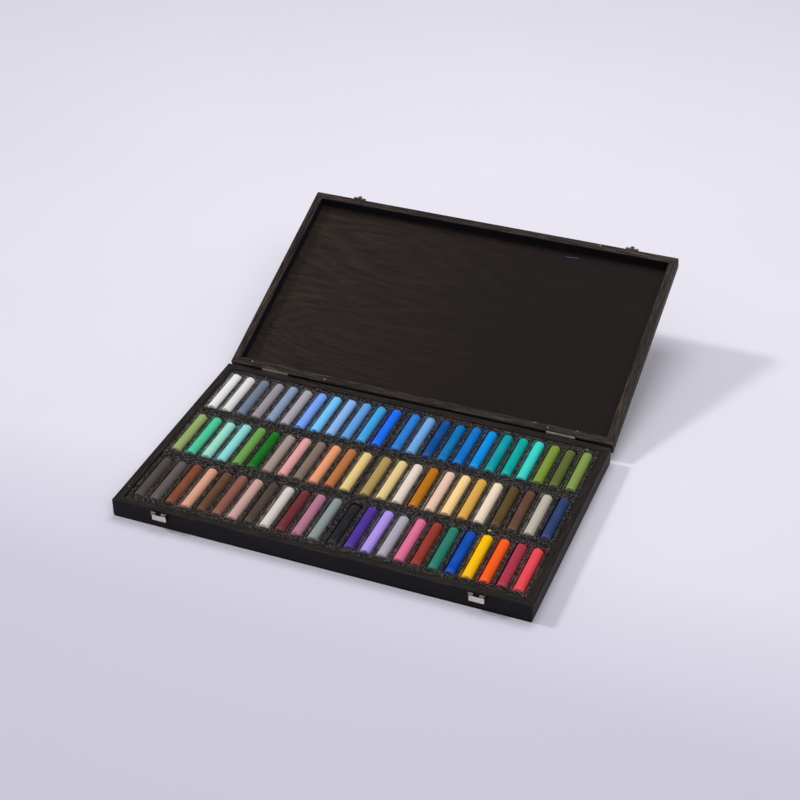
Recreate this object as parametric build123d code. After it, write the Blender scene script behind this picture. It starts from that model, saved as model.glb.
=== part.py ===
from build123d import *
import os

# Wooden pastel case, lid open. Millimetres, X to the right, Y to the back, Z up.
# The origin is the middle of the underside of the base.

# case
case_width = 465.0
case_depth = 278.0
base_height = 21.0
lid_depth = 15.0
panel_thickness = 3.0
panel_inset = 0.3  # the glued-on panels stop this far inside the rails
rail_thickness = 9.6
rebate_depth = 3.0  # how far a side rail is let into the front and back rails
corner_round = 1.4
rim_bevel = 0.7  # outer edge of a rim
rim_ease = 0.4  # inner edge of a rim
rim_gap = 0.4  # between the two rims when the lid is shut
lid_open_angle = 160.0

# foam blocks, three rows of two
foam_rows = {"front": -1, "middle": 0, "back": 1}
foam_sides = {"left": -1, "right": 1}
foam_gap = 0.3
foam_below_rim = 0.7
front_left_slip = 0.9  # one block sits this much further from its wall
slot_count = 12
slot_side_play = 2.0  # a slot is this much wider than its stick
slot_end_play = 2.5
slot_side_wall = 4.25  # foam left beside the outer slots
slot_end_wall = 7.68
slot_depth = 9.0

# pastels
stick_diameter = 11.3
stick_sides = 10  # even; the many sticks are many-sided rounds, to keep the model light
stick_lift = 0.1
worn_sticks = {  # length lost, by block and place from the left
    "left_back": {5: 0.6},
    "left_middle": {2: 2.5, 5: 1.2, 6: 1.0},
    "left_front": {4: 0.8},
    "right_back": {3: 1.4, 10: 2.6},
    "right_middle": {9: 0.5},
    "right_front": {0: 3.0, 3: 1.8, 6: 1.0, 11: 1.6},
}

# hinges
hinge_spread = 347.0  # between the middles of the two hinges
hinge_length = 32.6
hinge_drop = 0.7  # pin axis below the rim of the base
leaf_height = 10.0
leaf_thickness = 1.0
leaf_round = 1.2
knuckle_radius = 2.1
knuckle_count = 3  # odd: the base leaf has the outer ones
knuckle_gap = 0.15
knuckle_standoff = 0.3
hinge_pin_radius = 1.0
pin_end = 0.2  # the pin stands out of the end knuckles
running_clearance = 0.05
fixed_clearance = 0.02
heel_depth = 1.1
heel_width = 1.1
heel_gap = 0.1  # left between the stop heel and the base leaf
hinge_screw_spread = 19.2
hinge_screw_drop = 6.5

# latches
latch_spread = 351.0
latch_plate_width = 18.0
latch_plate_bottom = 9.7  # below the rim of the base
latch_plate_top = 3.6
latch_sheet = 0.7
latch_corner = 0.8
rivet_out = 2.9  # rivet axis in front of the base
rivet_drop = 1.45  # rivet axis below the rim of the base
rivet_radius = 0.7
rivet_head_radius = 1.2
rivet_head_length = 0.5
ear_radius = 1.7
ear_foot = 1.5
ear_gap = 0.2
lever_knuckle_radius = 1.55
lever_length = 8.95  # from the rivet axis down to its free edge
lever_set_back = 0.2  # front of the flap behind the rivet axis
notch_width = 6.9
notch_depth = 3.0  # below the rivet axis
strike_width = 15.4
strike_height = 10.0
strike_sheet = 0.8
strike_foot_out = 2.7
strike_foot_height = 1.6
strike_foot_bevel = 0.5
foot_gap = 0.7  # between a foot and the tongue
tongue_width = 6.0
tongue_out = 4.7
tongue_drop = 0.45
tongue_bend_out = 2.2
latch_screw_spread = 9.2
base_plate_screw_drop = 6.7
strike_screw_rise = 6.6

# screws
screw_radius = 0.9
screw_length = 7.5
csk_head_radius = 1.8
csk_head_depth = 0.8
pan_head_radius = 1.5
pan_head_height = 0.6
screw_sides = 8

# worked out from the sizes above
cavity_width = case_width - 2 * rail_thickness
cavity_depth = case_depth - 2 * rail_thickness
base_wall = base_height - panel_thickness
lid_wall = lid_depth - panel_thickness
front_y = -case_depth / 2
back_y = case_depth / 2
hinge_out = knuckle_radius + knuckle_standoff
hinge_y = back_y + hinge_out
hinge_z = base_height - hinge_drop
hinge_line = Axis((0, hinge_y, hinge_z), (1, 0, 0))
foam_width = (cavity_width - 3 * foam_gap - front_left_slip) / 2
foam_depth = (cavity_depth - 4 * foam_gap) / 3
foam_top = base_height - foam_below_rim
foam_height = foam_top - panel_thickness
slot_floor = foam_top - slot_depth
slot_width = stick_diameter + slot_side_play
slot_length = foam_depth - 2 * slot_end_wall
slot_pitch = (foam_width - 2 * slot_side_wall - slot_width) / (slot_count - 1)
stick_length = slot_length - slot_end_play
knuckle_length = hinge_length / knuckle_count
lever_width = latch_plate_width - 2 * (latch_sheet + ear_gap)
foot_width = (strike_width - tongue_width) / 2 - foot_gap

standing = (Align.CENTER, Align.CENTER, Align.MIN)


def opened(shape):
    """Swing a piece of the shut lid about the hinge line to where it rests open."""
    return shape.rotate(hinge_line, -lid_open_angle)


def frame_blank(wall_height):
    """The four walls in one, rim up, with round corners and eased edges."""
    outer = Box(case_width, case_depth, wall_height, align=standing)
    outer = fillet(outer.edges().filter_by(Axis.Z), corner_round)
    outer = chamfer(outer.faces().sort_by(Axis.Z)[-1].edges(), rim_bevel)
    blank = outer - Box(cavity_width, cavity_depth, wall_height, align=standing)
    inner_rim = blank.faces().sort_by(Axis.Z)[-1].inner_wires()[0]
    return chamfer(inner_rim.edges(), rim_ease)


def long_rail(blank, side, wall_height):
    """Front (side -1) or back (side 1) rail, stepped at both ends for the side rails."""
    region = Pos(0, side * (case_depth - rail_thickness) / 2, 0) * Box(
        case_width, rail_thickness, wall_height, align=standing
    )
    step_y = side * (case_depth / 2 - rail_thickness + rebate_depth / 2)
    for end in (-1, 1):
        step_x = end * (case_width - rail_thickness) / 2
        region -= Pos(step_x, step_y, 0) * Box(rail_thickness, rebate_depth, wall_height, align=standing)
    return blank & region


def side_rail(blank, side, wall_height):
    """Left (side -1) or right (side 1) rail, let into the steps of the long ones."""
    length = cavity_depth + 2 * rebate_depth
    region = Pos(side * (case_width - rail_thickness) / 2, 0, 0) * Box(
        rail_thickness, length, wall_height, align=standing
    )
    return blank & region


def frame_rails(wall_height):
    blank = frame_blank(wall_height)
    return {
        "front_rail": long_rail(blank, -1, wall_height),
        "back_rail": long_rail(blank, 1, wall_height),
        "left_rail": side_rail(blank, -1, wall_height),
        "right_rail": side_rail(blank, 1, wall_height),
    }


def panel():
    """Thin sheet glued under the rails, its outer face down at z = 0."""
    width, depth = case_width - 2 * panel_inset, case_depth - 2 * panel_inset
    sheet = Box(width, depth, panel_thickness, align=standing)
    return fillet(sheet.edges().filter_by(Axis.Z), corner_round)


def lid_flip(shape):
    """Turn a rim-up piece over onto the base, where the shut lid is."""
    return Pos(0, 0, base_height + rim_gap + lid_depth) * mirror(shape, Plane.XY)


def block_place(side_name, row_name):
    """Middle of one foam block."""
    side = foam_sides[side_name]
    slip = front_left_slip if (side_name, row_name) == ("left", "front") else 0
    x = side * (cavity_width / 2 - foam_gap - foam_width / 2) + slip
    y = foam_rows[row_name] * (foam_depth + foam_gap)
    return x, y


def slot_places(side_name, row_name):
    x, y = block_place(side_name, row_name)
    first = x - slot_pitch * (slot_count - 1) / 2
    return [(first + slot_pitch * i, y) for i in range(slot_count)]


def foam_block(side_name, row_name):
    """Foam with a row of cut slots, one for each stick."""
    x, y = block_place(side_name, row_name)
    block = Pos(x, y, panel_thickness) * Box(foam_width, foam_depth, foam_height, align=standing)
    slots = [
        Pos(sx, sy, slot_floor) * Box(slot_width, slot_length, slot_depth, align=standing)
        for sx, sy in slot_places(side_name, row_name)
    ]
    return block - slots


def stick_row(side_name, row_name):
    """A row of sticks on their slot floors; a worn one lies at the front of its slot."""
    worn = worn_sticks[side_name + "_" + row_name]
    section = RegularPolygon(stick_diameter / 2, stick_sides, rotation=90)
    sticks = []
    for i, (sx, sy) in enumerate(slot_places(side_name, row_name)):
        lost = worn.get(i, 0)
        middle = Pos(sx, sy - lost / 2, slot_floor + stick_lift + stick_diameter / 2)
        stick = extrude(Plane.XZ * section, amount=(stick_length - lost) / 2, both=True)
        sticks.append(middle * stick)
    return sticks


def hinge_leaf(up):
    """One leaf about the pin axis, y = 0 and z = 0: up 1 for the lid's, -1 for the base's."""
    plate_start = hinge_drop + rim_gap if up > 0 else 0
    plate_height = leaf_height - plate_start
    plate = Pos(-hinge_out + leaf_thickness / 2, up * (plate_start + plate_height / 2)) * Rectangle(
        leaf_thickness, plate_height
    )
    reach = knuckle_radius + knuckle_standoff
    strap = Pos(-knuckle_radius + leaf_thickness / 2, up * reach / 2) * Rectangle(leaf_thickness, reach)
    section = plate + strap + Circle(knuckle_radius) - Circle(hinge_pin_radius + running_clearance)
    leaf = extrude(Plane.YZ * section, amount=hinge_length / 2, both=True)
    free_edge = leaf.edges().filter_by(Axis.Y).sort_by(Axis.Z)
    leaf = fillet(free_edge[-2:] if up > 0 else free_edge[:2], leaf_round)

    # the odd knuckles are the lid's, the even ones the base's
    other = range(0, knuckle_count, 2) if up > 0 else range(1, knuckle_count, 2)
    for i in other:
        x = (i - (knuckle_count - 1) / 2) * knuckle_length
        leaf -= Pos(x, 0, 0) * Box(knuckle_length + 2 * knuckle_gap, 2 * hinge_out, 2 * reach)
    if up > 0:
        for i in range(1, knuckle_count, 2):
            leaf += stop_heel((i - (knuckle_count - 1) / 2) * knuckle_length)
    for side in (-1, 1):
        place = Pos(side * hinge_screw_spread / 2, -hinge_out + leaf_thickness, up * hinge_screw_drop)
        leaf -= place * Rot(-90, 0, 0) * countersunk_screw(fixed_clearance)
    return leaf


def stop_heel(x):
    """Lug under a lid knuckle that meets the base leaf when the lid is fully open."""
    contact = -hinge_out + leaf_thickness + heel_gap
    low = knuckle_radius + heel_depth
    section = Pos(contact + heel_width / 2, -low / 2) * Rectangle(heel_width, low)
    section -= Circle(hinge_pin_radius + running_clearance)
    lug = extrude(Plane.YZ * section, amount=knuckle_length / 2 - knuckle_gap, both=True)
    return Pos(x, 0, 0) * lug.rotate(Axis.X, lid_open_angle)


def hinge_pin():
    return Rot(0, 90, 0) * Cylinder(hinge_pin_radius, hinge_length + 2 * pin_end)


def screw_round(radius):
    return RegularPolygon(radius, screw_sides)


def screw_shank(clearance):
    return extrude(screw_round(screw_radius + clearance), amount=-screw_length - clearance)


def countersunk_screw(clearance=0):
    """Along +Z, the flat of its head at z = 0 and its shank below."""
    neck = Pos(0, 0, -csk_head_depth - clearance) * screw_round(screw_radius + clearance)
    head = loft([screw_round(csk_head_radius + clearance), neck], ruled=True)
    return head + screw_shank(clearance)


def pan_screw(clearance=0):
    """Along +Z, its head standing on z = 0 and its shank below."""
    return extrude(screw_round(pan_head_radius + clearance), amount=pan_head_height) + screw_shank(clearance)


def hinge_middles():
    return [side * hinge_spread / 2 for side in (-1, 1)]


def hinge_screws(up, clearance=0):
    """Four screws that hold the leaves of one side, in the shut position."""
    z = hinge_z + up * hinge_screw_drop
    screws = []
    for x in hinge_middles():
        for side in (-1, 1):
            place = Pos(x + side * hinge_screw_spread / 2, back_y + leaf_thickness, z)
            screws.append(place * Rot(-90, 0, 0) * countersunk_screw(clearance))
    return screws


def latch_plane(x):
    """Section plane of a latch: first axis out of the front face, second up, from the base's rim."""
    return Plane(origin=(x, front_y, base_height), x_dir=(0, -1, 0), z_dir=(-1, 0, 0))


def latch_middles():
    return {"left": -latch_spread / 2, "right": latch_spread / 2}


def band(x, section, width):
    return extrude(latch_plane(x) * section, amount=width / 2, both=True)


def box_section(out_low, out_high, up_low, up_high):
    size = (out_high - out_low, up_high - up_low)
    return Pos((out_low + out_high) / 2, (up_low + up_high) / 2) * Rectangle(*size)


def latch_plate(x):
    """Back plate with an ear at each side that carries the lever's rivets."""
    plate = band(x, box_section(0, latch_sheet, -latch_plate_bottom, -latch_plate_top), latch_plate_width)
    outline = Polyline(
        (0, ear_radius - rivet_drop),
        (rivet_out, ear_radius - rivet_drop),
        (rivet_out + ear_radius, -rivet_drop),
        (ear_foot, -latch_plate_bottom),
        (0, -latch_plate_bottom),
        close=True,
    )
    ear = make_face(outline) + Pos(rivet_out, -rivet_drop) * Circle(ear_radius)
    ear -= Pos(rivet_out, -rivet_drop) * Circle(rivet_radius + fixed_clearance)
    for side in (-1, 1):
        plate += band(x + side * (latch_plate_width - latch_sheet) / 2, ear, latch_sheet)
    for screw in latch_screws(x, -base_plate_screw_drop, latch_sheet, fixed_clearance):
        plate -= screw
    return plate


def latch_rivets(x):
    """Two short rivets, so the middle of the lever is left open for the tongue."""
    rivets = []
    inner = notch_width / 2 + ear_gap
    outer = latch_plate_width / 2 + fixed_clearance
    axis = Pos(rivet_out, -rivet_drop)
    for side in (-1, 1):
        shank = band(x + side * (inner + outer) / 2, axis * Circle(rivet_radius), outer - inner)
        head_x = x + side * (outer + rivet_head_length / 2)
        head = band(head_x, axis * screw_round(rivet_head_radius), rivet_head_length)
        rivets.append(shank + head)
    return rivets


def latch_lever(x):
    """Flap with a rolled knuckle at each top corner and a notch between them."""
    knuckle = Pos(rivet_out, -rivet_drop) * Circle(lever_knuckle_radius)
    front = rivet_out - lever_set_back
    flap = box_section(front - latch_sheet, front, -rivet_drop - lever_length, -rivet_drop)
    bore = Pos(rivet_out, -rivet_drop) * Circle(rivet_radius + running_clearance)
    lever = band(x, knuckle + flap - bore, lever_width)
    lever = fillet(lever.edges().filter_by(Axis.Y).sort_by(Axis.Z)[:2], latch_corner)
    notch = box_section(0, rivet_out + 2 * ear_radius, -rivet_drop - notch_depth, ear_radius)
    return lever - band(x, notch, notch_width)


def strike(x):
    """Plate on the shut lid: two square feet, and between them the tongue that the lever's notch takes."""
    plate = band(x, box_section(0, strike_sheet, rim_gap, rim_gap + strike_height), strike_width)
    plate = fillet(plate.edges().filter_by(Axis.Y).sort_by(Axis.Z)[-2:], latch_corner)
    foot_section = box_section(0, strike_foot_out, rim_gap, rim_gap + strike_foot_height)
    for side in (-1, 1):
        foot = band(x + side * (strike_width - foot_width) / 2, foot_section, foot_width)
        foot = chamfer(foot.edges().filter_by(Axis.X).sort_by(Axis.Y)[:2], strike_foot_bevel)
        plate += foot
    plate += tongue(x)
    for screw in latch_screws(x, strike_screw_rise, strike_sheet, fixed_clearance):
        plate -= screw
    return plate


def tongue(x):
    """Bent lip with a round end, seen from below as a half circle."""
    tip = rim_gap - tongue_drop
    section = make_face(
        Polyline(
            (0, rim_gap),
            (tongue_bend_out, rim_gap),
            (tongue_out, tip),
            (tongue_out, tip + strike_sheet),
            (tongue_bend_out, rim_gap + strike_sheet),
            (0, rim_gap + strike_sheet),
            close=True,
        )
    )
    lip = band(x, section, tongue_width)
    half = tongue_width / 2
    straight = Pos(0, -(tongue_out - half) / 2) * Rectangle(tongue_width, tongue_out - half)
    outline = straight + Pos(0, -(tongue_out - half)) * Circle(half)
    keep = extrude(Pos(x, front_y, base_height) * outline, amount=tongue_width, both=True)
    return lip & keep


def latch_screws(x, z, sheet, clearance=0):
    screws = []
    for side in (-1, 1):
        place = Pos(x + side * latch_screw_spread / 2, front_y - sheet, base_height + z)
        screws.append(place * Rot(90, 0, 0) * pan_screw(clearance))
    return screws


def base_latch_screws(clearance=0):
    middles = latch_middles().values()
    return [s for x in middles for s in latch_screws(x, -base_plate_screw_drop, latch_sheet, clearance)]


def lid_latch_screws(clearance=0):
    middles = latch_middles().values()
    return [s for x in middles for s in latch_screws(x, strike_screw_rise, strike_sheet, clearance)]


def base_nodes():
    nodes = {}
    for name, rail in frame_rails(base_wall).items():
        nodes["base_" + name] = Pos(0, 0, panel_thickness) * rail
    nodes["base_panel"] = panel()
    for side in foam_sides:
        for row in foam_rows:
            nodes[f"foam_block_{side}_{row}"] = foam_block(side, row)
            nodes[f"pastels_{side}_{row}"] = stick_row(side, row)
    for side, x in zip(foam_sides, hinge_middles()):
        place = Pos(x, hinge_y, hinge_z)
        nodes["hinge_base_leaf_" + side] = place * hinge_leaf(-1)
        nodes["hinge_pin_" + side] = place * hinge_pin()
    nodes["hinge_base_screws"] = hinge_screws(-1)
    for side, x in latch_middles().items():
        nodes["latch_plate_" + side] = latch_plate(x)
        nodes["latch_rivets_" + side] = latch_rivets(x)
        nodes["latch_lever_" + side] = latch_lever(x)
    nodes["latch_plate_screws"] = base_latch_screws()
    nodes["base_back_rail"] -= hinge_screws(-1, fixed_clearance)
    nodes["base_front_rail"] -= base_latch_screws(fixed_clearance)
    return nodes


def lid_nodes():
    """The lid's pieces where they are when it is shut."""
    nodes = {}
    for name, rail in frame_rails(lid_wall).items():
        nodes["lid_" + name] = lid_flip(Pos(0, 0, panel_thickness) * rail)
    nodes["lid_panel"] = lid_flip(panel())
    for side, x in zip(foam_sides, hinge_middles()):
        nodes["hinge_lid_leaf_" + side] = Pos(x, hinge_y, hinge_z) * hinge_leaf(1)
    nodes["hinge_lid_screws"] = hinge_screws(1)
    for side, x in latch_middles().items():
        nodes["latch_strike_" + side] = strike(x)
    nodes["latch_strike_screws"] = lid_latch_screws()
    nodes["lid_back_rail"] -= hinge_screws(1, fixed_clearance)
    nodes["lid_front_rail"] -= lid_latch_screws(fixed_clearance)
    return nodes


def solids(thing):
    return thing if isinstance(thing, list) else thing.solids()


os.makedirs("parts", exist_ok=True)
lid = {name: [opened(s) for s in solids(thing)] for name, thing in lid_nodes().items()}
for name, thing in {**base_nodes(), **lid}.items():
    export_step(Compound(children=list(solids(thing))), f"parts/{name}.step")
    print(name, len(solids(thing)))
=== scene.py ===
import bmesh
import bpy
import math
import random
from mathutils import Matrix, Vector, noise


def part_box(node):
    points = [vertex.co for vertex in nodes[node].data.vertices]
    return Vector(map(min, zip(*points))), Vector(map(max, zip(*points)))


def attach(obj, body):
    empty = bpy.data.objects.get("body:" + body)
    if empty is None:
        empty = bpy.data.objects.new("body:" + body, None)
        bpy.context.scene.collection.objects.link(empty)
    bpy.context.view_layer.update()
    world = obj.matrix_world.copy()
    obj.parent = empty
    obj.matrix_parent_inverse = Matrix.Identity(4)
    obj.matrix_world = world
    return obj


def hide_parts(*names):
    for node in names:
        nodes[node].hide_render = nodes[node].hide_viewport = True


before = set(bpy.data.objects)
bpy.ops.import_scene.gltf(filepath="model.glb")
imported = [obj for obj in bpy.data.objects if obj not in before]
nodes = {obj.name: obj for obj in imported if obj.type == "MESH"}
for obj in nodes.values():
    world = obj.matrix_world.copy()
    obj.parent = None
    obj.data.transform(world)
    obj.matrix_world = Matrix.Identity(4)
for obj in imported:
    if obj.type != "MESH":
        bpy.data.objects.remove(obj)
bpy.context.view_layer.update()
mm = 0.001
lidLean = 20  # degrees that the open lid leans back from level
sameSpot = 5e-6  # points nearer than this are one
sharpAngle = math.radians(40)
print("case loaded with", len(nodes), "nodes")


# stains, pigments and grain are all built from these few steps
def linear(colour):
    tones = [c / 255 for c in colour]
    return [t / 12.92 if t < 0.04045 else ((t + 0.055) / 1.055) ** 2.4 for t in tones]


def pigment(colour):
    return (*linear(colour), 1)


def newFinish(name):
    finish = bpy.data.materials.new(name)
    finish.use_nodes = True
    tree = finish.node_tree
    return finish, tree, tree.nodes["Principled BSDF"]


def add(tree, kind, sockets=None, **settings):
    made = tree.nodes.new("ShaderNode" + kind)
    for name, value in settings.items():
        setattr(made, name, value)
    for name, value in (sockets or {}).items():
        if isinstance(value, bpy.types.NodeSocket):
            tree.links.new(value, made.inputs[name])
        else:
            made.inputs[name].default_value = value
    return made


def sums(tree, operation, first, second=0.0):
    return add(tree, "Math", {0: first, 1: second}, operation=operation).outputs[0]


def mixed(tree, amount, first, second, blend="MIX"):
    made = add(tree, "Mix", {0: amount, 6: first, 7: second}, data_type="RGBA", blend_type=blend)
    return made.outputs[2]


def spread(tree, value, low, high, newLow=0.0, newHigh=1.0):
    sockets = {"Value": value, "From Min": low, "From Max": high, "To Min": newLow, "To Max": newHigh}
    return add(tree, "MapRange", sockets).outputs[0]


def placeOn(tree, what="Object"):
    return add(tree, "TexCoord").outputs[what]


def axisOf(tree, vector, axis):
    return add(tree, "SeparateXYZ", {0: vector}).outputs["XYZ".index(axis)]


def laidAlong(tree, turn=(0, 0, 0), start=(0, 0, 0)):
    sockets = {"Vector": placeOn(tree), "Rotation": [math.radians(a) for a in turn], "Location": start}
    return add(tree, "Mapping", sockets).outputs[0]


def grainAt(tree, vector, perMetre, detail=2.0, roughness=0.5):
    scaled = add(tree, "Mapping", {"Vector": vector, "Scale": perMetre}).outputs[0]
    sockets = {"Vector": scaled, "Scale": 1.0, "Detail": detail, "Roughness": roughness}
    return add(tree, "TexNoise", sockets).outputs["Fac"]


def relief(tree, shader, height, depth, strength=1.0):
    made = add(tree, "Bump", {"Height": height, "Distance": depth, "Strength": strength})
    tree.links.new(made.outputs[0], shader.inputs["Normal"])


def finished(tree, shader, colour=None, roughness=None, **plain):
    if colour is not None:
        tree.links.new(colour, shader.inputs["Base Color"])
    if roughness is not None:
        tree.links.new(roughness, shader.inputs["Roughness"])
    for name, value in plain.items():
        shader.inputs[name.replace("_", " ")].default_value = value


# loose crumbs of pastel, each with a colour of its own
# a look's crumbs are (cells per metre, size in a cell, share of the cells that have one, strength)
def crumbs(tree, colour, perMetre, size, share, amount):
    cells = add(tree, "TexVoronoi", {"Vector": placeOn(tree), "Scale": perMetre})
    lot = add(tree, "SeparateColor", {"Color": cells.outputs["Color"]}, mode="HSV")
    chosen = sums(tree, "LESS_THAN", lot.outputs[0], share)
    near = spread(tree, cells.outputs["Distance"], size, size * 0.5)
    tint = add(tree, "HueSaturation", {"Saturation": 0.8, "Value": 1.1, "Color": cells.outputs["Color"]})
    strength = sums(tree, "MULTIPLY", sums(tree, "MULTIPLY", chosen, near), amount)
    return mixed(tree, strength, colour, tint.outputs[0])


# marks are (place, reach in x, y and z, colour, strength), in millimetres
markEdge = {"perMetre": (900, 900, 900), "full": 1.15, "gone": 1.6}


def marked(tree, colour, marks):
    coords = placeOn(tree)
    ragged = grainAt(tree, coords, markEdge["perMetre"], 3, 0.6)
    for place, reach, tint, amount in marks:
        sockets = {"Vector": coords, "Location": [p * mm for p in place], "Scale": [r * mm for r in reach]}
        away = add(tree, "Mapping", sockets, vector_type="TEXTURE").outputs[0]
        far = add(tree, "VectorMath", {0: away}, operation="LENGTH").outputs["Value"]
        far = sums(tree, "ADD", far, ragged)
        strength = spread(tree, far, markEdge["full"], markEdge["gone"], amount, 0.0)
        colour = mixed(tree, strength, colour, pigment(tint))
    return colour


# black stained wood of the rails
railWood = {
    "stain": (19, 16, 15),
    "side": (26, 26, 30),  # the blacker, smoother upright faces; their bluish tint is a painted reflection of the pale room
    "rubbed": (104, 88, 76),  # wood that shows through on the rims
    "pore": (7, 7, 8),
    "streaksPerMetre": (40, 980, 980),
    "bandsPerMetre": (9, 150, 150),
    "poresPerMetre": (120, 2100, 2100),
    "blotchesPerMetre": (14, 30, 30),
    "sideWear": 0.07,
    "crumbs": (95, 0.05, 0.03, 0.45),
    "roughness": (0.42, 0.6),
    "gloss": 0.08,
    "grainDepth": 0.07,
}


def stainedWood(name, turn, start, wear, marks=()):
    look = railWood
    finish, tree, shader = newFinish(name)
    along = laidAlong(tree, turn, start)
    streaks = grainAt(tree, along, look["streaksPerMetre"], 5, 0.65)
    bands = grainAt(tree, along, look["bandsPerMetre"], 3)
    pores = grainAt(tree, along, look["poresPerMetre"], 2)
    blotch = grainAt(tree, along, look["blotchesPerMetre"], 3, 0.6)
    worn = spread(tree, streaks, 0.44, 0.66)
    worn = sums(tree, "MULTIPLY", worn, spread(tree, bands, 0.3, 0.7, 0.5, 1.0))
    worn = sums(tree, "MULTIPLY", worn, spread(tree, blotch, 0.3, 0.65, 0.5, 1.0))
    upwards = spread(tree, axisOf(tree, placeOn(tree, "Normal"), "Z"), 0.3, 0.8)
    worn = sums(tree, "MULTIPLY", worn, spread(tree, upwards, 0, 1, look["sideWear"], wear))
    # painted reflection: the upright faces take a bluish black
    colour = mixed(tree, upwards, pigment(look["side"]), pigment(look["stain"]))
    colour = mixed(tree, worn, colour, pigment(look["rubbed"]))
    colour = mixed(tree, spread(tree, pores, 0.36, 0.27), colour, pigment(look["pore"]))
    colour = crumbs(tree, colour, *look["crumbs"])
    colour = marked(tree, colour, marks)
    height = sums(tree, "ADD", streaks, spread(tree, pores, 0.27, 0.4))
    relief(tree, shader, height, look["grainDepth"] * mm, 0.9)
    roughness = spread(tree, streaks, 0.35, 0.7, *look["roughness"])
    finished(tree, shader, colour, roughness, Specular_IOR_Level=look["gloss"])
    return finish


# thin dark plywood of the two panels, with the arches of a peeled veneer
panelPly = {
    "stain": (22, 17, 17),
    "arch": (58, 49, 42),
    "red": (34, 22, 20),  # redder wood under the stain in places
    "pore": (9, 8, 8),
    "bendPerMetre": (2.1, 8.5, 8.5),
    "ripplePerMetre": (42, 210, 210),
    "fibrePerMetre": (24, 900, 900),
    "poresPerMetre": (110, 2400, 2400),
    "patchesPerMetre": (4, 9, 9),
    "arches": 26,
    "ripple": 0.85,
    # painted sheen, strongest at the left of the panels
    "sheenFrom": -0.22,
    "sheenTo": 0.06,
    "sheenBy": (0.95, 0.24),
    "crumbs": (60, 0.03, 0.015, 0.35),
    "roughness": (0.46, 0.6),
    "gloss": 0.05,
    "grainDepth": 0.05,
}


def plywood(name, turn, marks=()):
    look = panelPly
    finish, tree, shader = newFinish(name)
    along = laidAlong(tree, turn)
    bend = grainAt(tree, along, look["bendPerMetre"], 2, 0.42)
    ripple = sums(tree, "MULTIPLY", grainAt(tree, along, look["ripplePerMetre"], 3, 0.55), look["ripple"])
    field = sums(tree, "ADD", sums(tree, "MULTIPLY", bend, look["arches"]), ripple)
    lines = sums(tree, "PINGPONG", field, 0.5)
    fibre = grainAt(tree, along, look["fibrePerMetre"], 4, 0.62)
    pores = grainAt(tree, along, look["poresPerMetre"], 2)
    patch = grainAt(tree, along, look["patchesPerMetre"], 2)
    # painted sheen: the grain shows lighter towards the left, standing in for the reflection of the lamp at
    # the left
    place = axisOf(tree, placeOn(tree), "X")
    paintedSheen = spread(tree, place, look["sheenFrom"], look["sheenTo"], *look["sheenBy"])
    ridge = sums(tree, "MULTIPLY", spread(tree, lines, 0.34, 0.5), spread(tree, patch, 0.3, 0.6, 0.2, 0.75))
    ridge = sums(tree, "MULTIPLY", ridge, sums(tree, "MULTIPLY", paintedSheen, paintedSheen))
    shown = sums(tree, "MULTIPLY", spread(tree, fibre, 0.28, 0.72), paintedSheen)
    colour = mixed(tree, shown, pigment(look["stain"]), pigment(look["arch"]))
    colour = mixed(tree, spread(tree, patch, 0.5, 0.68, 0.0, 0.4), colour, pigment(look["red"]))
    colour = mixed(tree, ridge, colour, pigment(look["arch"]))
    dark = sums(tree, "MULTIPLY", spread(tree, lines, 0.09, 0.0, 0.0, 0.45), paintedSheen)
    colour = mixed(tree, dark, colour, pigment(look["pore"]))
    colour = mixed(tree, spread(tree, pores, 0.34, 0.25, 0.0, 0.8), colour, pigment(look["pore"]))
    colour = crumbs(tree, colour, *look["crumbs"])
    colour = marked(tree, colour, marks)
    height = sums(tree, "ADD", fibre, spread(tree, pores, 0.25, 0.4))
    relief(tree, shader, height, look["grainDepth"] * mm, 0.8)
    roughness = spread(tree, fibre, 0.3, 0.7, *look["roughness"])
    finished(tree, shader, colour, roughness, Specular_IOR_Level=look["gloss"])
    return finish


# plated sheet of the hinges and latches; the hinges and the latches' plates, strikes and rivets take darker
# copies of it, painted shade
# painted shade: the hinges take a darkened copy of the plated metal
hingePlate = {
    "metal": (108, 101, 94),
    "tarnish": (72, 66, 60),
    "roughness": (0.35, 0.55),
    "scratchDepth": 0.01,
}
latchPlate = {
    "metal": (228, 222, 214),
    "tarnish": (203, 194, 184),
    "roughness": (0.42, 0.58),
    "scratchDepth": 0.008,
    "knuckle": (84, 76, 69),  # painted shade: the pivot end is darker
    "knuckleFrom": 17.3,  # height of the change, in millimetres
    "knuckleTo": 18.0,
}
# painted shade: a much darker copy of the nickel for the latches' plates, strikes and rivets
shadedPlate = {
    "metal": (82, 72, 64),
    "tarnish": (44, 38, 34),
    "roughness": (0.36, 0.55),
    "scratchDepth": 0.01,
}
platingGrain = {
    "cloudPerMetre": (160, 160, 160),
    "scratchesPerMetre": (260, 5200, 4200),
    "spotsPerMetre": (1500, 1500, 1500),
}


def platedMetal(name, look):
    finish, tree, shader = newFinish(name)
    along = laidAlong(tree)
    cloud = grainAt(tree, along, platingGrain["cloudPerMetre"], 3, 0.6)
    scratches = grainAt(tree, along, platingGrain["scratchesPerMetre"], 3, 0.6)
    spots = grainAt(tree, along, platingGrain["spotsPerMetre"], 2, 0.6)
    tarnish = spread(tree, sums(tree, "ADD", cloud, spots), 0.9, 1.3)
    colour = mixed(tree, tarnish, pigment(look["metal"]), pigment(look["tarnish"]))
    if "knuckle" in look:
        # painted shade darkens the lever above its knuckle line
        height = axisOf(tree, placeOn(tree), "Z")
        paintedKnuckleShade = spread(tree, height, look["knuckleFrom"] * mm, look["knuckleTo"] * mm, 0.0, 0.85)
        colour = mixed(tree, paintedKnuckleShade, colour, pigment(look["knuckle"]))
    relief(tree, shader, scratches, look["scratchDepth"] * mm, 0.6)
    roughness = spread(tree, sums(tree, "ADD", cloud, scratches), 0.75, 1.25, *look["roughness"])
    finished(tree, shader, colour, roughness, Metallic=1.0)
    return finish


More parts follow.
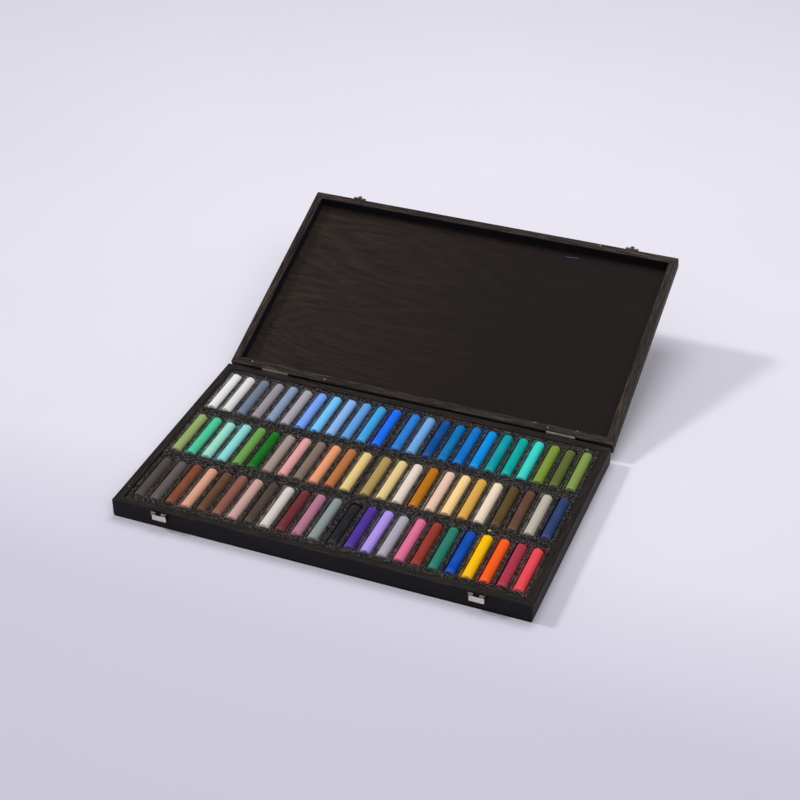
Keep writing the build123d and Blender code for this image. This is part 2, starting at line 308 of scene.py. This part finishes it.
# charcoal foam: coarse open cells, a little dust of the sticks on the cut faces
blockFoam = {
    # painted shade: the darkest tone, in the open pores
    "poreShade": (9, 8, 8),
    "skin": (32, 29, 28),
    "bright": (150, 144, 138),  # cell walls that catch the light
    "coarsePerMetre": (640, 640, 640),
    "finePerMetre": (1500, 1500, 1500),
    "pitsPerMetre": 780,
    "wallsPerMetre": 1300,
    "crumbs": (260, 0.18, 0.02, 0.5),
    "roughness": 0.95,
    "gloss": 0.08,
    "cellDepth": 0.45,
}


def foamFinish(name, marks=()):
    look = blockFoam
    finish, tree, shader = newFinish(name)
    along = laidAlong(tree)
    coarse = grainAt(tree, along, look["coarsePerMetre"], 3, 0.8)
    fine = grainAt(tree, along, look["finePerMetre"], 2, 0.7)
    cells = add(tree, "TexVoronoi", {"Vector": along, "Scale": look["pitsPerMetre"]}).outputs["Distance"]
    both = sums(tree, "ADD", sums(tree, "MULTIPLY", coarse, 0.62), sums(tree, "MULTIPLY", fine, 0.38))
    pits = spread(tree, cells, 0.15, 0.6)
    colour = mixed(tree, spread(tree, both, 0.44, 0.56), pigment(look["poreShade"]), pigment(look["skin"]))
    colour = mixed(tree, spread(tree, both, 0.56, 0.66, 0.0, 0.3), colour, pigment(look["bright"]))
    # painted shade in the pits of the cells
    colour = mixed(tree, sums(tree, "MULTIPLY", pits, 0.35), colour, pigment(look["poreShade"]))
    walls = add(tree, "TexVoronoi", {"Vector": along, "Scale": look["wallsPerMetre"]})
    lot = add(tree, "SeparateColor", {"Color": walls.outputs["Color"]}).outputs[0]
    colour = mixed(tree, spread(tree, lot, 0.68, 1.0, 0.0, 0.5), colour, pigment(look["bright"]))
    dust = add(tree, "Attribute", attribute_name="dust").outputs["Color"]
    amount = add(tree, "Attribute", attribute_name="dustAmount").outputs["Fac"]
    patchy = sums(tree, "MULTIPLY", amount, spread(tree, both, 0.42, 0.6, 0.15, 1.0))
    colour = mixed(tree, patchy, colour, dust)
    colour = crumbs(tree, colour, *look["crumbs"])
    colour = marked(tree, colour, marks)
    height = sums(tree, "SUBTRACT", both, sums(tree, "MULTIPLY", pits, 0.4))
    relief(tree, shader, height, look["cellDepth"] * mm)
    finished(tree, shader, colour, None, Roughness=look["roughness"], Specular_IOR_Level=look["gloss"])
    return finish


# dry chalky pastel; each stick carries its own colour
chalk = {
    "paler": 0.05,
    "darker": 0.18,
    "streaksPerMetre": (700, 45, 700),
    "powderPerMetre": (1900, 1900, 1900),
    "cloudPerMetre": (140, 60, 140),
    "roughness": (0.82, 1.0),
    "gloss": 0.1,
    "powderDepth": 0.09,
}


def pastelFinish(name):
    look = chalk
    finish, tree, shader = newFinish(name)
    along = laidAlong(tree)
    own = add(tree, "Attribute", attribute_name="pigment").outputs["Color"]
    scuff = add(tree, "Attribute", attribute_name="scuff").outputs["Fac"]
    streaks = grainAt(tree, along, look["streaksPerMetre"], 4, 0.6)
    powder = grainAt(tree, along, look["powderPerMetre"], 3, 0.65)
    cloud = grainAt(tree, along, look["cloudPerMetre"], 3, 0.55)
    pale = mixed(tree, 0.32, own, (1, 1, 1, 1))
    deep = mixed(tree, 1.0, own, (0.66, 0.66, 0.66, 1), "MULTIPLY")
    colour = mixed(tree, spread(tree, cloud, 0.45, 0.75, 0.0, look["paler"]), own, pale)
    colour = mixed(tree, spread(tree, streaks, 0.46, 0.3, 0.0, look["darker"]), colour, deep)
    colour = mixed(tree, sums(tree, "MULTIPLY", scuff, spread(tree, powder, 0.42, 0.62)), colour, pale)
    height = sums(tree, "ADD", sums(tree, "MULTIPLY", streaks, 0.6), powder)
    relief(tree, shader, height, look["powderDepth"] * mm, 0.9)
    roughness = spread(tree, powder, 0.3, 0.7, *look["roughness"])
    finished(tree, shader, colour, roughness, Specular_IOR_Level=look["gloss"])
    return finish


# every carried-over piece keeps its shape and gets its finish, with its edges just broken
brokenEdges = {"rail": 0.3, "panel": 0.25, "metal": 0.1, "segments": 2, "sharperThan": 32, "weld": 0.002}


def dress(nodeName, finish, edge):
    piece = nodes[nodeName]
    for place in piece.material_slots:
        place.material = finish
    weld = piece.modifiers.new("weld", "WELD")
    weld.merge_threshold = brokenEdges["weld"] * mm
    bevel = piece.modifiers.new("brokenEdges", "BEVEL")
    bevel.width = brokenEdges[edge] * mm
    bevel.segments = brokenEdges["segments"]
    bevel.limit_method = "ANGLE"
    bevel.angle_limit = math.radians(brokenEdges["sharperThan"])
    piece.modifiers.new("evenShading", "WEIGHTED_NORMAL")


rimWear = {"base": 0.38, "lid": 0.95}
# each rail has a figure of its own
grainShift = {"perRail": (0.31, 0.17, 0.07), "lid": 0.13}
crumbMarks = {
    "base_left_rail": [((-226.5, -112, 21), (0.9, 1.1, 1), (190, 110, 70), 0.55)],
    "base_right_rail": [((226, 6, 21), (1.2, 2.0, 1), (150, 110, 105), 0.2)],
    "lid_back_rail": [
        ((-207.2, 150.5, 22.4), (1.4, 0.6, 1.5), (190, 195, 205), 0.6),
        ((-113.4, 147.5, 21.3), (1.0, 0.7, 1.5), (200, 195, 190), 0.7),
        ((140.6, 151.7, 22.9), (2.6, 0.8, 1.5), (100, 135, 150), 0.5),
        ((156.3, 149.0, 21.9), (0.6, 0.7, 1.5), (215, 212, 170), 0.85),
        ((189.8, 152.6, 23.2), (0.6, 0.7, 1.5), (160, 200, 200), 0.8),
    ],
    "lid_left_rail": [((-224.6, 381.5, 106.5), (0.7, 0.9, 2), (150, 95, 60), 0.4)],
    "lid_front_rail": [((137.4, 402.8, 114.3), (1.0, 1.0, 2), (190, 190, 185), 0.7)],
}
for number, part in enumerate(("front_rail", "back_rail", "left_rail", "right_rail")):
    across = 90 if "left" in part or "right" in part else 0
    for body, lean in (("base", 0), ("lid", -lidLean)):
        nodeName = body + "_" + part
        start = [shift * number for shift in grainShift["perRail"]]
        start[0] += grainShift["lid"] if lean else 0
        marks = crumbMarks.get(nodeName, ())
        wood = stainedWood("wood_" + nodeName, (lean, 0, across), start, rimWear[body], marks)
        dress(nodeName, wood, "rail")

blueSmear = [
    ((103.5, 391.0, 97.3), (6.0, 0.5, 1.2), (60, 110, 155), 0.6),
    ((111.0, 391.9, 97.6), (4.5, 0.4, 1.0), (70, 125, 170), 0.6),
]
dress("base_panel", plywood("plywood_base", (0, 0, 0)), "panel")
dress("lid_panel", plywood("plywood_lid", (-lidLean, 0, 0), blueSmear), "panel")

hingeMetal = platedMetal("hinge_steel", hingePlate)
latchMetal = platedMetal("latch_nickel", latchPlate)
shadedNickel = platedMetal("latch_nickel_shaded", shadedPlate)
for side in ("left", "right"):
    for part in ("hinge_base_leaf_", "hinge_lid_leaf_", "hinge_pin_"):
        dress(part + side, hingeMetal, "metal")
    dress("latch_lever_" + side, latchMetal, "metal")
    for part in ("latch_plate_", "latch_strike_"):
        dress(part + side, shadedNickel, "metal")
print("rails, panels and fittings finished")


# the solids of a node, each as a list of its points, in the same order on every run
def looseSolids(nodeName):
    mesh = bmesh.new()
    mesh.from_mesh(nodes[nodeName].data)
    bmesh.ops.remove_doubles(mesh, verts=mesh.verts, dist=sameSpot)
    left = set(mesh.verts)
    found = []
    for start in mesh.verts:
        if start not in left:
            continue
        left.remove(start)
        queue = [start]
        solid = []
        while queue:
            vert = queue.pop()
            solid.append(vert.co.copy())
            for edge in vert.link_edges:
                other = edge.other_vert(vert)
                if other in left:
                    left.remove(other)
                    queue.append(other)
        found.append(solid)
    mesh.free()
    return found


def middleOf(points):
    low = Vector([min(p[i] for p in points) for i in range(3)])
    high = Vector([max(p[i] for p in points) for i in range(3)])
    return (low + high) / 2, low, high


def newPiece(name, mesh, finish, body, replaced):
    data = bpy.data.meshes.new(name)
    bmesh.ops.recalc_face_normals(mesh, faces=mesh.faces)
    mesh.to_mesh(data)
    mesh.free()
    data.polygons.foreach_set("use_smooth", [True] * len(data.polygons))
    data.materials.append(finish)
    piece = bpy.data.objects.new(name, data)
    bpy.context.scene.collection.objects.link(piece)
    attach(piece, body)
    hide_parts(replaced)
    return piece


def rings(mesh, rows):
    made = [[mesh.verts.new(p) for p in row] for row in rows]
    for row, following in zip(made, made[1:]):
        count = max(len(row), len(following))
        for i in range(count):
            corners = [row[i % len(row)], row[(i + 1) % len(row)]]
            corners += [following[(i + 1) % len(following)], following[i % len(following)]]
            mesh.faces.new(list(dict.fromkeys(corners)))


# screws with crossed heads, turned about their own axis
screwShape = {
    "sides": 32,
    "shank": 0.9,
    "length": 7.5,
    "panHead": 1.5,
    "panHeight": 0.6,
    "sunkHead": 1.8,
    "sunkDepth": 0.8,
    "crossArm": 0.19,
    "crossReach": 0.85,
    "crossDepth": 0.36,
    "level": 0.02,  # points this near the top are the head's
}


def screwRows(sunk, turnBy):
    look = screwShape
    if sunk:
        head = [(look["sunkHead"] * i / 12, 0.0) for i in range(13)]
        under = [(look["shank"], -look["sunkDepth"])]
    else:
        reach, height = look["panHead"], look["panHeight"]
        head = [(reach * i / 12, height * (1 - 0.45 * (i / 12) ** 3)) for i in range(12)]
        head += [(reach, height * 0.42), (reach, 0.0)]
        under = [(look["shank"], 0.0)]
    tip = [(look["shank"], 0.8 - look["length"]), (0.35, -look["length"]), (0.0, -look["length"])]
    rows = []
    for radius, high in head + under + tip:
        row = []
        for i in range(look["sides"] if radius else 1):
            angle = math.tau * i / look["sides"]
            x, y = radius * math.cos(angle), radius * math.sin(angle)
            u = abs(x * math.cos(turnBy) + y * math.sin(turnBy))
            v = abs(y * math.cos(turnBy) - x * math.sin(turnBy))
            inCross = min(u, v) < look["crossArm"] and max(u, v) < look["crossReach"] and high > -0.1
            row.append(Vector((x, y, high - (look["crossDepth"] if inCross else 0))) * mm)
        rows.append(row)
    return rows


def fitScrews(nodeName, body, outward, sunk, finish):
    rng = random.Random(nodeName)
    mesh = bmesh.new()
    aim = Vector((0, 0, 1)).rotation_difference(outward).to_matrix()
    for solid in looseSolids(nodeName):
        top = max(p.dot(outward) for p in solid)
        crown = [p for p in solid if p.dot(outward) > top - screwShape["level"] * mm]
        headTop = sum(crown, Vector()) / len(crown)
        seat = headTop if sunk else headTop - outward * screwShape["panHeight"] * mm
        rows = screwRows(sunk, rng.uniform(0, math.pi / 2))
        rings(mesh, [[seat + aim @ p for p in row] for row in rows])
    piece = newPiece(nodeName + "_turned", mesh, finish, body, nodeName)
    piece.data.set_sharp_from_angle(angle=sharpAngle)


lidOutward = Matrix.Rotation(math.radians(lidLean - 180), 3, "X")
fitScrews("hinge_base_screws", "base", Vector((0, 1, 0)), True, hingeMetal)
fitScrews("hinge_lid_screws", "lid", lidOutward @ Vector((0, 1, 0)), True, hingeMetal)
fitScrews("latch_plate_screws", "base", Vector((0, -1, 0)), False, latchMetal)
fitScrews("latch_strike_screws", "lid", lidOutward @ Vector((0, -1, 0)), False, latchMetal)

rivetShape = {"sides": 28, "shank": 0.7, "head": 1.2, "dome": 0.5}


def fitRivets(side):
    look = rivetShape
    nodeName = "latch_rivets_" + side
    low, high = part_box(nodeName)
    middle = (low.x + high.x) / 2
    mesh = bmesh.new()
    for solid in looseSolids(nodeName):
        centre, first, last = middleOf(solid)
        outwards = 1 if centre.x > middle else -1
        inner, outer = (first.x, last.x) if outwards > 0 else (last.x, first.x)
        seat = outer - outwards * look["dome"] * mm
        profile = [(inner, 0), (inner, look["shank"]), (seat, look["shank"]), (seat, look["head"])]
        for step in range(1, 8):
            angle = math.pi / 2 * step / 7
            rise = math.sin(angle) * look["dome"] * mm
            profile.append((seat + outwards * rise, look["head"] * math.cos(angle) if step < 7 else 0))
        rows = []
        for x, radius in profile:
            row = []
            for i in range(look["sides"] if radius else 1):
                angle = math.tau * i / look["sides"]
                y, z = radius * mm * math.cos(angle), radius * mm * math.sin(angle)
                row.append(Vector((x, centre.y + y, centre.z + z)))
            rows.append(row)
        rings(mesh, rows)
    piece = newPiece(nodeName + "_domed", mesh, shadedNickel, "base", nodeName)
    piece.data.set_sharp_from_angle(angle=sharpAngle)


for side in ("left", "right"):
    fitRivets(side)
print("screws and rivets fitted")

# the colours of the sticks, each row from the left
stickColours = {
    "left_back": [
        (236, 236, 236), (228, 226, 222), (112, 124, 142), (154, 147, 153), (138, 155, 180), (170, 166, 174),
        (122, 165, 240), (118, 198, 244), (140, 185, 235), (100, 160, 220), (65, 165, 225), (25, 110, 235),
    ],
    "right_back": [
        (45, 125, 205), (115, 170, 225), (5, 75, 145), (0, 115, 175), (0, 115, 195), (0, 145, 220),
        (0, 155, 165), (0, 168, 160), (60, 215, 200), (125, 150, 55), (92, 102, 45), (128, 152, 75),
    ],
    "left_middle": [
        (150, 170, 105), (80, 200, 155), (160, 225, 205), (145, 220, 215), (110, 160, 80), (20, 110, 25),
        (165, 148, 138), (225, 165, 160), (130, 112, 98), (235, 160, 115), (185, 115, 65), (232, 205, 135),
    ],
    "right_middle": [
        (175, 150, 90), (232, 205, 145), (232, 218, 200), (185, 115, 20), (235, 200, 175), (252, 215, 150),
        (220, 170, 80), (240, 222, 195), (92, 72, 38), (98, 68, 55), (190, 183, 168), (45, 62, 105),
    ],
    "left_front": [
        (82, 72, 70), (98, 88, 88), (130, 74, 50), (222, 164, 138), (100, 68, 50), (140, 90, 75),
        (205, 165, 155), (78, 64, 54), (218, 208, 201), (110, 45, 50), (180, 120, 140), (140, 150, 150),
    ],
    "right_front": [
        (30, 31, 36), (80, 50, 150), (178, 150, 235), (175, 170, 180), (225, 115, 150), (150, 55, 40),
        (40, 125, 105), (0, 75, 175), (255, 196, 0), (250, 95, 25), (170, 54, 72), (235, 75, 85),
    ],
}
stickShape = {
    "sides": 28,
    "drift": 0.35,  # sideways in the slot
    "settled": 0.8,  # towards the near end of the slot
    "twist": 0.35,  # degrees
    "unevenness": 0.1,
    "unevenPerMm": 0.22,
    "nearRound": (0.9, 1.7),
    "farRound": (0.7, 1.7),
    "chip": 0.5,
    "chipsPerMm": 0.45,
    "chipReach": 2.5,  # from either end
    "fullness": 0.045,  # how far the round is pressed towards a square
    "leastScuff": 0.02,
    "endScuff": 0.3,
}


def sticksFromLeft(block):
    solids = [middleOf(solid) for solid in looseSolids("pastels_" + block)]
    return sorted(solids, key=lambda found: found[0].x)


# one bar, from its near end to its far end, both a little rounded and chipped
def stickRows(centre, length, radius, rng):
    look = stickShape
    nearRound, farRound = rng.uniform(*look["nearRound"]), rng.uniform(*look["farRound"])
    profile = [(0, 0.0), (0, 0.55), (0, 1 - nearRound / radius)]
    for step in (0.35, 0.7, 1.0):
        angle = math.pi / 2 * step
        inset, drop = nearRound * (1 - math.cos(angle)), nearRound * (1 - math.sin(angle))
        profile.append((inset, 1 - drop / radius))
    profile += [(length * i / 11, 1.0) for i in range(1, 11)]
    for step in (1.0, 0.75, 0.5, 0.25, 0.0):
        angle = math.pi / 2 * step
        inset, drop = farRound * (1 - math.cos(angle)), farRound * (1 - math.sin(angle))
        profile.append((length - inset, 1 - drop / radius))
    profile += [(length, 0.5), (length, 0.0)]
    seed = Vector([rng.uniform(0, 90) for _ in range(3)])
    twist = Matrix.Rotation(math.radians(rng.uniform(-look["twist"], look["twist"])), 3, "Z")
    drift = rng.uniform(-look["drift"], look["drift"])
    rows = []
    for along, share in profile:
        row = []
        for i in range(look["sides"] if share else 1):
            angle = math.tau * i / look["sides"]
            across = radius * share * (1 + look["fullness"] * (1 - math.cos(4 * angle)) / 2)
            spot = Vector((math.cos(angle) * across, along - length / 2, math.sin(angle) * across))
            uneven = noise.noise(spot * look["unevenPerMm"] + seed) * look["unevenness"]
            nearEnd = max(0, 1 - min(along, length - along) / look["chipReach"])
            bite = max(0, noise.noise(spot * look["chipsPerMm"] - seed) - 0.12) * look["chip"] * 2 * nearEnd
            spot *= 1 + (min(0, uneven) - bite * 0.25) / radius
            spot.y -= math.copysign(bite * 0.6, spot.y) if nearEnd > 0.6 else 0
            spot = twist @ spot
            spot.x += drift
            spot.y -= look["settled"]
            row.append(centre + spot * mm)
        rows.append(row)
    return rows


def laySticks(block):
    rng = random.Random("sticks " + block)
    mesh = bmesh.new()
    own = mesh.verts.layers.float_color.new("pigment")
    scuff = mesh.verts.layers.float.new("scuff")
    for (centre, low, high), colour in zip(sticksFromLeft(block), stickColours[block]):
        before = len(mesh.verts)
        length, radius = (high.y - low.y) / mm, (high.z - low.z) / mm / 2
        rings(mesh, stickRows(centre, length, radius, rng))
        mesh.verts.ensure_lookup_table()
        for vert in mesh.verts[before:]:
            vert[own] = pigment(colour)
            fromEnd = min(vert.co.y - low.y, high.y - vert.co.y) / mm
            vert[scuff] = max(stickShape["leastScuff"], stickShape["endScuff"] - fromEnd * 0.1)
    nodeName = "pastels_" + block
    newPiece("sticks_" + block, mesh, pastelFinish("pastel_" + block), "base", nodeName)


# foam blocks with their cut slots
foamShape = {
    "slotWidth": 13.3,
    "slotLength": 70.5,
    "slotDepth": 9.0,
    "step": 2.2,
    "lipDrop": 0.16,
    "edgeDrop": 0.07,
    "wander": 0.16,
    "lumps": 0.22,
    "lumpsPerMm": 0.38,
    "finePerMm": 0.95,
    "levels": 5,
    "sideLines": (0.6, 1.7),  # extra lines of the mesh beside the block's sides and the slots
    "outsideLines": (0.5, 1.4),
    "insideLine": 0.8,
}
# dust of the sticks at the slots, more on each left edge
slotDust = {"reach": 1.5, "leftTop": 0.55, "rightTop": 0.2, "leftWall": 0.5, "rightWall": 0.26}


def gridLines(low, high, cuts, step):
    near, far = foamShape["sideLines"]
    kept = {low, low + near, low + far, high - far, high - near, high}
    near, far = foamShape["outsideLines"]
    inside = foamShape["insideLine"]
    for first, last in cuts:
        kept |= {first - far, first - near, first, first + inside}
        kept |= {last - inside, last, last + near, last + far}
    kept = sorted(kept)
    lines = [kept[0]]
    for following in kept[1:]:
        gap = following - lines[-1]
        parts = max(1, round(gap / step))
        lines += [lines[-1] + gap / parts * (i + 1) for i in range(parts)]
    return lines


def cutFoam(block):
    look = foamShape
    rng = random.Random("foam " + block)
    seed = Vector([rng.uniform(0, 90) for _ in range(3)])
    low, high = [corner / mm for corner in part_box("foam_block_" + block)]
    sticks = sticksFromLeft(block)
    middleY = (low.y + high.y) / 2
    slotsX = [(c.x / mm - look["slotWidth"] / 2, c.x / mm + look["slotWidth"] / 2) for c, *_ in sticks]
    slotY = (middleY - look["slotLength"] / 2, middleY + look["slotLength"] / 2)
    linesX = gridLines(low.x, high.x, slotsX, look["step"])
    linesY = gridLines(low.y, high.y, [slotY], look["step"])
    lastX, lastY = len(linesX) - 1, len(linesY) - 1
    mesh = bmesh.new()
    dust = mesh.verts.layers.float_color.new("dust")
    dustAmount = mesh.verts.layers.float.new("dustAmount")
    made = {}

    def vertAt(i, j, level):
        if (i, j, level) in made:
            return made[i, j, level]
        x, y = linesX[i], linesY[j]
        spot = Vector((x, y, high.z - look["slotDepth"] * level / look["levels"]))
        if level < 0:
            spot.z = low.z if level == -2 else (low.z + high.z) / 2
        fromSlot = min(max(a - x, x - b, slotY[0] - y, y - slotY[1], 0) for a, b in slotsX)
        fromSide = min(x - low.x, high.x - x, y - low.y, high.y - y)
        lump = noise.noise(spot * look["lumpsPerMm"] + seed)
        fine = noise.noise(spot * look["finePerMm"] - seed)
        if level == 0:
            if fromSlot < 1e-6:
                spot.z -= look["lipDrop"] * (1 + 0.6 * fine)
            elif fromSlot < 0.51:
                spot.z -= look["lipDrop"] * 0.25
            if fromSide < 1e-6:
                spot.z -= look["edgeDrop"] * (1 + 0.5 * lump)
            elif fromSide < 0.61:
                spot.z -= look["edgeDrop"] * 0.3
            spot.z -= look["lumps"] * (0.5 + 0.5 * lump)
        if level >= 0 and fromSlot < 1.5 and fromSide > 1:
            spot.x += look["wander"] * noise.noise(Vector((x * 0.5, y * 0.22, level * 0.6)) + seed) * 1.4
            spot.y += look["wander"] * fine * 0.8
        elif level == 0 and fromSide > 1:
            spot.x += look["wander"] * lump * 0.5
        vert = mesh.verts.new(spot * mm)
        nearest = min(range(len(sticks)), key=lambda n: abs(sticks[n][0].x / mm - x))
        vert[dust] = pigment(stickColours[block][nearest])
        amount = 0.0
        reach = slotDust["reach"]
        if slotY[0] - reach < y < slotY[1] + reach and fromSlot < reach:
            edge = "left" if x < sticks[nearest][0].x / mm else "right"
            if level > 0:
                amount = slotDust[edge + "Wall"]
            else:
                amount = slotDust[edge + "Top"] * max(0, 1 - fromSlot / reach)
            amount *= 0.45 + 1.1 * max(0, 0.5 + noise.noise(spot * 0.12 + seed))
        vert[dustAmount] = min(1, amount)
        made[i, j, level] = vert
        return vert

    # whether a cell of the grid is open, or None outside the block
    def isSlot(i, j):
        if not (0 <= i < lastX and 0 <= j < lastY):
            return None
        x, y = (linesX[i] + linesX[i + 1]) / 2, (linesY[j] + linesY[j + 1]) / 2
        return slotY[0] < y < slotY[1] and any(a - 1e-6 <= x <= b + 1e-6 for a, b in slotsX)

    for i in range(lastX):
        for j in range(lastY):
            level = look["levels"] if isSlot(i, j) else 0
            c, d = i + 1, j + 1
            mesh.faces.new([vertAt(*corner, level) for corner in ((i, j), (c, j), (c, d), (i, d))])
            for a, b in ((c, j), (i, d)):  # the neighbours at the right and behind
                if isSlot(a, b) is not None and isSlot(a, b) != isSlot(i, j):
                    for step in range(look["levels"]):
                        corners = ((a, b, step), (c, d, step), (c, d, step + 1), (a, b, step + 1))
                        mesh.faces.new([vertAt(*corner) for corner in corners])
    outline = [(i, 0) for i in range(lastX)] + [(lastX, j) for j in range(lastY)]
    outline += [(i, lastY) for i in range(lastX, 0, -1)] + [(0, j) for j in range(lastY, 0, -1)]
    for (a, b), (c, d) in zip(outline, outline[1:] + outline[:1]):
        for upper, lower in ((0, -1), (-1, -2)):
            corners = ((a, b, upper), (c, d, upper), (c, d, lower), (a, b, lower))
            mesh.faces.new([vertAt(*corner) for corner in corners])
    mesh.faces.new([vertAt(a, b, -2) for a, b in outline])
    piece = newPiece("foam_" + block, mesh, foam, "base", "foam_block_" + block)


foamMarks = [
    ((-165, 28, 20), (5, 3.5, 3), (120, 150, 185), 0.35),
    ((117, 126, 20), (4, 2.5, 3), (60, 170, 165), 0.2),
    ((155, -43, 20), (2.2, 1.6, 3), (240, 205, 60), 0.7),
    ((159, -46.5, 20), (1.2, 1.2, 3), (60, 110, 190), 0.7),
    ((208, 127, 20), (2.2, 1.4, 3), (130, 150, 70), 0.6),
]
foam = foamFinish("foam_charcoal", foamMarks)
for block in stickColours:
    cutFoam(block)
    laySticks(block)
print("foam cut and", sum(len(row) for row in stickColours.values()), "sticks laid in")

# a pale table, wide enough for every view, with painted shade towards the front
table = {
    "reach": 6.0,
    "sides": 96,
    "colour": (234, 232, 240),
    "cloud": (226, 224, 234),
    # painted shade of the light falling off towards the front
    "near": (213, 210, 225),
    "falloffFrom": 0.02,  # metres in front of the middle
    "falloffTo": 0.24,
    "roughness": 0.85,
    "gloss": 0.1,
    "sunk": 0.1,  # millimetres below the case
}


def layTable():
    mesh = bmesh.new()
    rows = [[Vector((0, 0, 0))]]
    for share in (0.1, 0.35, 1.0):
        reach = table["reach"] * share
        turns = [math.tau * i / table["sides"] for i in range(table["sides"])]
        rows.append([Vector((reach * math.cos(a), reach * math.sin(a), 0)) for a in turns])
    rings(mesh, rows)
    data = bpy.data.meshes.new("table")
    mesh.to_mesh(data)
    mesh.free()
    finish, tree, shader = newFinish("table_paper")
    tone = grainAt(tree, laidAlong(tree), (3, 3, 3), 2)
    cloudy = spread(tree, tone, 0.3, 0.7, 0.0, 0.25)
    colour = mixed(tree, cloudy, pigment(table["colour"]), pigment(table["cloud"]))
    # painted shade: the table darkens towards the front
    paintedFalloff = sums(tree, "MULTIPLY", axisOf(tree, placeOn(tree), "Y"), -1.0)
    paintedFalloff = spread(tree, paintedFalloff, table["falloffFrom"], table["falloffTo"])
    colour = mixed(tree, paintedFalloff, colour, pigment(table["near"]))
    finished(tree, shader, colour, None, Roughness=table["roughness"], Specular_IOR_Level=table["gloss"])
    data.materials.append(finish)
    piece = bpy.data.objects.new("table", data)
    piece.location.z = -table["sunk"] * mm
    bpy.context.scene.collection.objects.link(piece)


layTable()

# a lamp at the left, a weak wide one from the right, a soft one above and even room light
lamps = {
    "key": {"travels": (133.5, 3.7, -115.2), "strength": 1.05, "width": 8},
    "fill": {"travels": (-60, 40, -78), "strength": 0.5, "width": 30},
    "overhead": {"place": (-0.05, 0.62, 1.7), "strength": 10.0, "size": 0.8},
}
roomLight = {"strength": 0.44, "colour": (238, 236, 246), "backdrop": 0.7}


def hangLamps():
    for name, look in lamps.items():
        data = bpy.data.lights.new(name, "SUN" if "travels" in look else "AREA")
        data.energy = look["strength"]
        if "travels" in look:
            data.angle = math.radians(look["width"])
        else:
            data.size = look["size"]
        place = Vector(look.get("place", (0, 0, 2)))
        lamp = bpy.data.objects.new(name, data)
        lamp.rotation_mode = "QUATERNION"
        lamp.rotation_quaternion = Vector(look.get("travels", -place)).to_track_quat("-Z", "Y")
        lamp.location = place
        bpy.context.scene.collection.objects.link(lamp)


hangLamps()

world = bpy.data.worlds.new("room")
world.use_nodes = True
bpy.context.scene.world = world
tree = world.node_tree
room = tree.nodes["Background"]
room.inputs["Color"].default_value = pigment(roomLight["colour"])
path = add(tree, "LightPath")
seen = sums(tree, "ADD", path.outputs["Is Camera Ray"], path.outputs["Is Glossy Ray"])
seen = sums(tree, "ADD", seen, path.outputs["Is Transmission Ray"])
brightness = spread(tree, seen, 0, 1, roomLight["strength"], roomLight["backdrop"])
tree.links.new(brightness, room.inputs["Strength"])

# the photograph's view
view = {
    "place": (0.5825, -1.3526, 1.1426),
    "right": (0.9296, 0.3684, -0.0062),
    "up": (-0.2060, 0.5335, 0.8203),
    "back": (0.3055, -0.7613, 0.5719),
    "lens": 77.62,
    "sensor": 36,
    "nearest": 0.05,
    "farthest": 50,
}
camera = bpy.data.objects.new("camera", bpy.data.cameras.new("camera"))
axes = Matrix([view["right"], view["up"], view["back"]]).transposed().to_4x4()
camera.matrix_world = Matrix.Translation(view["place"]) @ axes.to_quaternion().to_matrix().to_4x4()
camera.data.lens = view["lens"]
camera.data.sensor_width = view["sensor"]
camera.data.clip_start = view["nearest"]
camera.data.clip_end = view["farthest"]
bpy.context.scene.collection.objects.link(camera)
bpy.context.scene.camera = camera
bpy.context.scene.view_settings.view_transform = "Standard"
